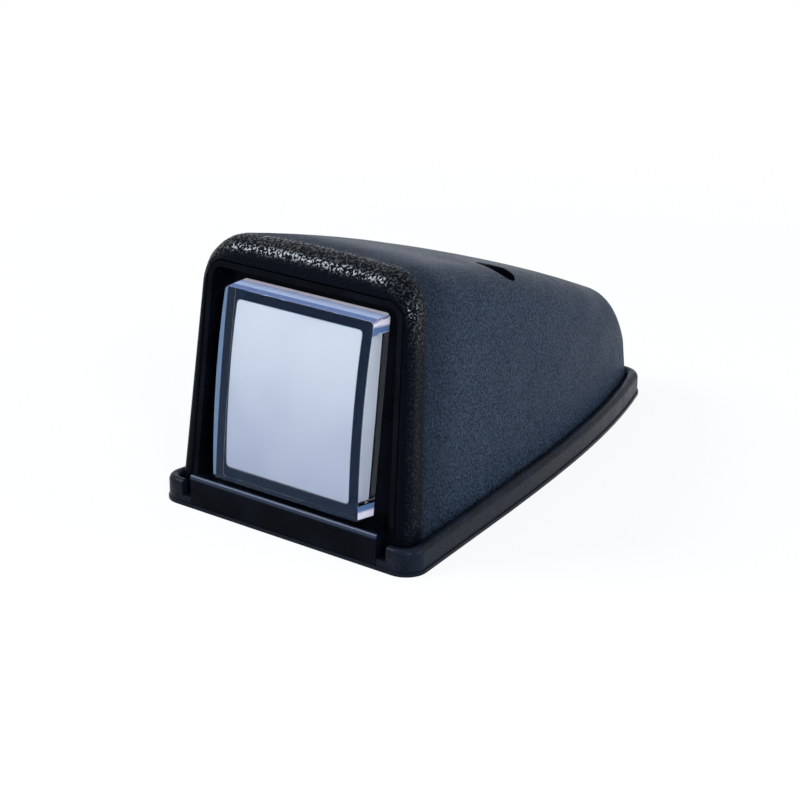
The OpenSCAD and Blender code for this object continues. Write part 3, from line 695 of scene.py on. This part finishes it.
class MARKERLAMP_OT_lens(Operator):
    """Models the clear lens as a polished cap with a bulged face and thick sides"""

    bl_idname = "marker_lamp.lens"
    bl_label = "Lens"
    bl_options = {"REGISTER", "UNDO"}

    def material(self, sizes):
        finish = new_finish("lens_clear_plastic")
        return finish.shade(
            base_color=sizes.tint,
            roughness=finish.noise(12 * MM).ramp(0.35, 0.75, 0.0, 0.012),
            transmission_weight=1.0,
            ior=1.49,
            specular_tint=sizes.gloss_tint,
        )

    def painted_light_material(self, sizes):
        """Painted light on the lens's strip, top and ends: satin faces whose colour and faint glow paint the
        light that shows through the clear plastic
        """
        finish = new_finish("lens_painted_light")
        depth = finish.along(1) * -1
        across, height = finish.along(0), finish.along(2).math("ABSOLUTE")
        streaks = finish.noise(2.5 * MM, 3.0)
        half = sizes.width / 2
        left = (across * -1).ramp(half - LIT_FROM, half - LIT_TO)
        beside = across.ramp(half - LIT_FROM, half - LIT_TO)
        reach = sizes.height / 2 - sizes.patch_height
        turn = height.ramp(*(reach + place for place in PATCH_TURNS))
        patch = finish.mix(turn, sizes.patch_painted_shade, sizes.patch_painted_light)
        tone = finish.mix(depth.ramp(*TOP_TURNS), sizes.top_painted_light, sizes.top_painted_shade)
        tone = finish.mix(1 - depth.ramp(*TOP_BACK), tone, sizes.patch_painted_light)
        tone = finish.mix(left, tone, sizes.strip_painted_light)
        tone = finish.mix(beside * height.ramp(reach - PATCH_EDGE, reach), tone, patch)
        tone = finish.mix(streaks.ramp(0.4, 0.7) * 0.2, tone, sizes.top_painted_shade)
        return finish.shade(
            base_color=tone,
            roughness=streaks.vary(0.2, 0.3),
            specular_level=0.1,
            # A painted glow, though the lens is no lamp.
            emission_color=tone,
            emission_strength=0.5,
        )

    def paint_light_faces(self, bm, sizes):
        """Gives the faces that get painted light the second material, between new cuts"""
        patch = sizes.height / 2 - sizes.patch_height
        cut(bm, (0, -sizes.strip_start, 0), (0, 1, 0))
        cut(bm, (0, 0, patch), (0, 0, 1))
        cut(bm, (0, 0, -patch), (0, 0, 1))
        bm.normal_update()
        for face in bm.faces:
            middle, out = face.calc_center_median(), face.normal
            strip = out.x < -SQUARE and middle.y < -sizes.strip_start
            top = out.z > SQUARE and middle.y < sizes.foot
            end = out.x > SQUARE and abs(middle.z) > patch and middle.y < 0
            face.material_index = int(strip or top or end)

    def execute(self, context):
        sizes = settings().lens
        side = 2 * sizes.side_thickness
        corner, foot, steps = sizes.corner_radius, sizes.foot, sizes.curve_steps
        outer = rounded_box(sizes.width, sizes.height, corner, LENS_FAR, foot, steps)
        bulge_front(outer, LENS_FAR, sizes, 0)
        round_edges(outer, sharp_edges(outer, SQUARE_FOLD), sizes.edge_radius)
        self.paint_light_faces(outer, sizes)
        lower_top(outer, sizes.top_drop, sizes.proud)
        inner = rounded_box(sizes.width - side, sizes.height - side, corner, LENS_FAR, foot, steps)
        bulge_front(inner, LENS_FAR, sizes, sizes.face_thickness)
        lower_top(inner, sizes.plate_drop, sizes.proud - sizes.face_thickness)
        bm = cap(outer, inner, foot)
        lens = add_piece("clear_lens", bm, self.material(sizes), ("lens",))
        lens.data.materials.append(self.painted_light_material(sizes))
        return {"FINISHED"}


class MARKERLAMP_OT_diffuser(Operator):
    """Models the pale plate and its skirt behind the lens"""

    bl_idname = "marker_lamp.diffuser"
    bl_label = "Pale plate"
    bl_options = {"REGISTER", "UNDO"}

    def material(self, sizes):
        finish = new_finish("plate_opal_plastic")
        cloud = finish.noise(18 * MM)
        # Painted shade, darker towards the plate's foot, mixed with random clouds.
        low = 1 - finish.axis(2).ramp(*PLATE_HEIGHTS)
        factor = low * 0.88 + cloud.ramp(0.35, 0.65) * 0.12
        return finish.shade(
            base_color=finish.mix(factor, sizes.plate_colour, sizes.plate_painted_shade),
            roughness=cloud.vary(0.3, 0.38),
            normal=finish.bump(finish.noise(1.2 * MM), 0.01 * MM),
            # A painted glow on the skirt's outside.
            emission_color=finish.mix(self.painted_glow_mask(finish, sizes), (0, 0, 0), sizes.plate_colour),
            emission_strength=sizes.side_painted_glow,
        )

    def painted_glow_mask(self, finish, sizes):
        """Where the painted glow goes: one on the outside of the skirt and nothing on the plate's face"""
        inset = sizes.side_thickness + sizes.gap
        beside = finish.along(0).math("ABSOLUTE") - (sizes.width / 2 - inset)
        above = finish.along(2).math("ABSOLUTE") - (sizes.height / 2 - inset)
        return beside.math("MAXIMUM", above).ramp(SKIRT_FROM, SKIRT_TO)

    def box(self, sizes, extra):
        """The plate's outside, or its inside if it is set in by the plate's thickness"""
        inset = sizes.side_thickness + sizes.gap + extra
        corner = max(sizes.corner_radius - extra, 0.6 * MM)
        width, height = sizes.width - 2 * inset, sizes.height - 2 * inset
        bm = rounded_box(width, height, corner, PLATE_FAR, 0, sizes.curve_steps)
        bulge_front(bm, PLATE_FAR, sizes, sizes.face_thickness + sizes.gap + extra)
        lower_top(bm, sizes.plate_drop, sizes.proud - sizes.face_thickness)
        return bm

    def execute(self, context):
        sizes = settings().lens
        outer, inner = self.box(sizes, 0), self.box(sizes, sizes.plate_thickness)
        rim = sharp_edges(outer, SQUARE_FOLD, lambda edge: edge.verts[0].co.y < PLATE_EDGE_Y)
        round_edges(outer, rim, PLATE_EDGE_RADIUS)
        bm = cap(outer, inner, 0)
        add_piece("pale_plate", bm, self.material(sizes), ("diffuser",))
        return {"FINISHED"}


class MARKERLAMP_OT_seals(Operator):
    """Gives the seals and the grommet their rubber, and the lens's bed its navy compound"""

    bl_idname = "marker_lamp.seals"
    bl_label = "Seals"
    bl_options = {"REGISTER", "UNDO"}

    def execute(self, context):
        rubber = clouded(
            "seal_soft_rubber", hidden_tones("seal"), 3 * MM, (0.55, 0.7), 0.02 * MM, relief=0.4 * MM,
            specular_level=0.2,
        )
        dress(rubber, "cover_seal", "lead_grommet")
        navy = settings().lens.bed_colour
        bed = clouded(
            "seal_navy_compound", (navy, paler(navy, 1.6)), 3 * MM, (0.4, 0.5), 0.01 * MM, relief=0.8 * MM,
            specular_level=0.03,
        )
        dress(bed, "lens_seal")
        return {"FINISHED"}


class MARKERLAMP_OT_light_source(Operator):
    """Gives the reflector, the board and the diodes their finishes"""

    bl_idname = "marker_lamp.light_source"
    bl_label = "Light source"
    bl_options = {"REGISTER", "UNDO"}

    def execute(self, context):
        white = clouded(
            "reflector_white_plastic", hidden_tones("white"), 8 * MM, (0.25, 0.35), 0.01 * MM, 2.0,
            relief=1 * MM,
        )
        dress(white, "reflector", "terminal_block")
        board = clouded("board_green_laminate", hidden_tones("board"), 0.6 * MM, (0.28, 0.4), 0.01 * MM)
        dress(board, "diode_board")
        resin = clouded(
            "diode_clear_resin", hidden_tones("diode"), 1.5 * MM, (0.08, 0.16), 0.005 * MM, 2.0,
            spread=(0.4, 0.6),
        )
        dress(resin, *(f"diode_{i}" for i in range(1, 5)))
        return {"FINISHED"}


class MARKERLAMP_OT_small_parts(Operator):
    """Gives the parts on the back of the board their finishes"""

    bl_idname = "marker_lamp.small_parts"
    bl_label = "Small parts"
    bl_options = {"REGISTER", "UNDO"}

    def execute(self, context):
        black = clouded("component_black_resin", hidden_tones("resin"), 0.25 * MM, (0.5, 0.65), 0.01 * MM)
        dress(black, "resistor_1", "resistor_2", "polarity_diode", "current_regulator")
        can = clouded(
            "can_drawn_aluminium", hidden_tones("can"), 0.3 * MM, (0.24, 0.36), 0.005 * MM, 2.0,
            metallic=1.0,
        )
        dress(can, "capacitor")
        return {"FINISHED"}


class MARKERLAMP_OT_screws(Operator):
    """Gives the screws their zinc plate"""

    bl_idname = "marker_lamp.screws"
    bl_label = "Screws"
    bl_options = {"REGISTER", "UNDO"}

    def execute(self, context):
        zinc = clouded(
            "screw_zinc_plate", hidden_tones("zinc"), 0.4 * MM, (0.26, 0.42), 0.006 * MM, metallic=1.0,
        )
        dress(zinc, "board_screws", "cover_screws", "body_screws")
        return {"FINISHED"}


class MARKERLAMP_OT_stage(Operator):
    """Lays the floor, sets the lights and stands the camera where the photographer stood"""

    bl_idname = "marker_lamp.stage"
    bl_label = "Stage"
    bl_options = {"REGISTER", "UNDO"}

    def floor(self, sizes):
        bm = bmesh.new()
        bmesh.ops.create_grid(bm, x_segments=1, y_segments=1, size=FLOOR_HALF)
        mesh = bpy.data.meshes.new("floor")
        bm.to_mesh(mesh)
        bm.free()
        finish = new_finish("floor_pale")
        matt = finish.node("ShaderNodeBsdfDiffuse", {}, {"Color": sizes.floor})
        white = finish.node("ShaderNodeEmission", {}, {"Color": sizes.back, "Strength": 1.0})
        away = flat_distance(finish.axis(0), finish.axis(1))
        lift = finish.looked_along() * away.ramp(sizes.lift_start, sizes.lift_end, sizes.floor_lift, 1.0)
        shown = finish.node("ShaderNodeMixShader", {}, {0: lift, 1: matt, 2: white})
        mesh.materials.append(finish.end(shown))
        floor = bpy.data.objects.new("floor", mesh)
        bpy.context.scene.collection.objects.link(floor)

    def world(self, sizes):
        finish = Finish(bpy.data.worlds.new("studio"))
        shown = finish.node("ShaderNodeBackground", {}, {"Color": sizes.back, "Strength": 1.0})
        fill = finish.node("ShaderNodeBackground", {}, {"Color": sizes.fill, "Strength": sizes.fill_strength})
        mixed = finish.node("ShaderNodeMixShader", {}, {0: finish.looked_along(), 1: fill, 2: shown})
        bpy.context.scene.world = finish.end(mixed, "ShaderNodeOutputWorld")

    def light(self, name, place, size, power, tint):
        light = bpy.data.lights.new(name, "AREA")
        light.shape = "RECTANGLE"
        light.size, light.size_y = size
        light.energy = power
        light.color = tint
        lamp = bpy.data.objects.new(name, light)
        lamp.location = place
        lamp.rotation_mode = "QUATERNION"
        lamp.rotation_quaternion = (LIGHTS_AIM - Vector(place)).to_track_quat("-Z", "Y")
        bpy.context.scene.collection.objects.link(lamp)

    def camera(self, sizes):
        data = bpy.data.cameras.new("camera")
        data.sensor_width = SENSOR_MM
        data.lens = sizes.focal_length
        data.clip_start = CLIP_START
        back = Vector(sizes.camera_back).normalized()
        right = Vector((0, 0, 1)).cross(back).normalized()
        up = back.cross(right)
        c, s = math.cos(sizes.camera_roll), math.sin(sizes.camera_roll)
        turned = Matrix((right * c + up * s, up * c - right * s, back)).transposed()
        camera = bpy.data.objects.new("camera", data)
        camera.matrix_world = Matrix.Translation(sizes.camera_place) @ turned.to_4x4()
        bpy.context.scene.collection.objects.link(camera)
        bpy.context.scene.camera = camera

    def execute(self, context):
        sizes = settings().stage
        context.scene.view_settings.view_transform = "Standard"
        self.floor(sizes)
        self.world(sizes)
        for light in LIGHTS:
            self.light(*light)
        self.camera(sizes)
        return {"FINISHED"}


class MARKERLAMP_PT_sidebar(Panel):
    """Lists the pieces of the lamp and their settings"""

    bl_idname = "MARKERLAMP_PT_sidebar"
    bl_label = "Marker light"
    bl_space_type = "VIEW_3D"
    bl_region_type = "UI"
    bl_category = "Marker light"

    def draw(self, context):
        layout = self.layout
        lamp = context.scene.marker_lamp
        for group, title in (
            (lamp.hood, "Hood"), (lamp.gasket, "Gasket"), (lamp.unit, "Lamp unit"),
            (lamp.lens, "Lens"), (lamp.inside, "Hidden parts"), (lamp.stage, "Stage"),
        ):
            box = layout.box()
            box.label(text=title)
            for name in group.__annotations__:
                box.prop(group, name)
        for operator in OPERATORS:
            layout.operator(operator.bl_idname)


OPERATORS = (
    MARKERLAMP_OT_stage,
    MARKERLAMP_OT_hood,
    MARKERLAMP_OT_gasket,
    MARKERLAMP_OT_lamp_unit,
    MARKERLAMP_OT_lens,
    MARKERLAMP_OT_diffuser,
    MARKERLAMP_OT_seals,
    MARKERLAMP_OT_light_source,
    MARKERLAMP_OT_small_parts,
    MARKERLAMP_OT_screws,
)
CLASSES = (
    HoodSettings, GasketSettings, UnitSettings, LensSettings, InsideSettings, StageSettings,
    MarkerLampSettings, *OPERATORS, MARKERLAMP_PT_sidebar,
)


def register():
    for cls in CLASSES:
        bpy.utils.register_class(cls)
    bpy.types.Scene.marker_lamp = PointerProperty(type=MarkerLampSettings)


def unregister():
    del bpy.types.Scene.marker_lamp
    for cls in reversed(CLASSES):
        bpy.utils.unregister_class(cls)


def main():
    register()
    bpy.ops.marker_lamp.stage()
    bpy.ops.marker_lamp.hood()
    bpy.ops.marker_lamp.gasket()
    bpy.ops.marker_lamp.lamp_unit()
    bpy.ops.marker_lamp.lens()
    bpy.ops.marker_lamp.diffuser()
    bpy.ops.marker_lamp.seals()
    bpy.ops.marker_lamp.light_source()
    bpy.ops.marker_lamp.small_parts()
    bpy.ops.marker_lamp.screws()


if __name__ == "__main__":
    main()
